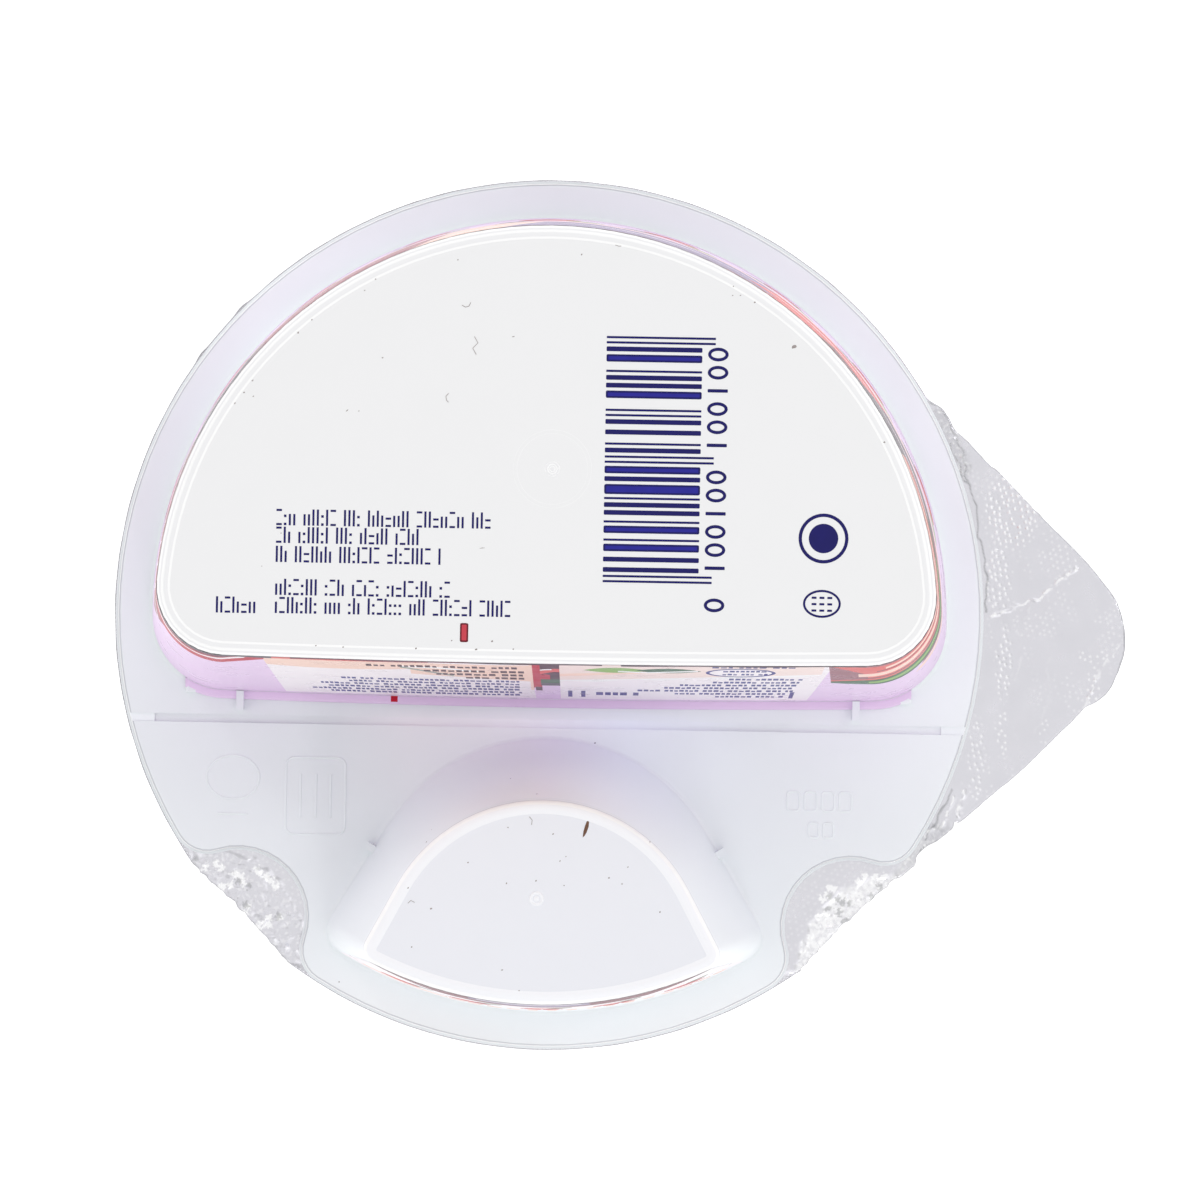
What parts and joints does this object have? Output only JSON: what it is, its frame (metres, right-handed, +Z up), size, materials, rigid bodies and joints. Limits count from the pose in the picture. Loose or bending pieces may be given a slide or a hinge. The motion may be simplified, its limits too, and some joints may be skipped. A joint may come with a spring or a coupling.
{
  "type": "yogurt pot",
  "caption": "Shut yogurt pot: a D-shaped compartment and a smaller arched one for fruit on one round flange, sealed by a foil lid with a pull tab, lying lid down.",
  "frame": {"origin": "middle of the round lid at its outer face, which the pot lies on", "axes": "+Z up, from the lid to the pot's base; +X towards the lid's pull tab; the fruit compartment is on the -Y side"},
  "size_m": [0.1108, 0.0952, 0.045],
  "materials": {
    "white_plastic": "satin",
    "foil": "embossed and creased",
    "label_film": "satin",
    "print_ink": "satin"
  },
  "bodies": {
    "root": {"pot": "white_plastic", "foil_lid": "foil"}
  },
  "joints": []
}
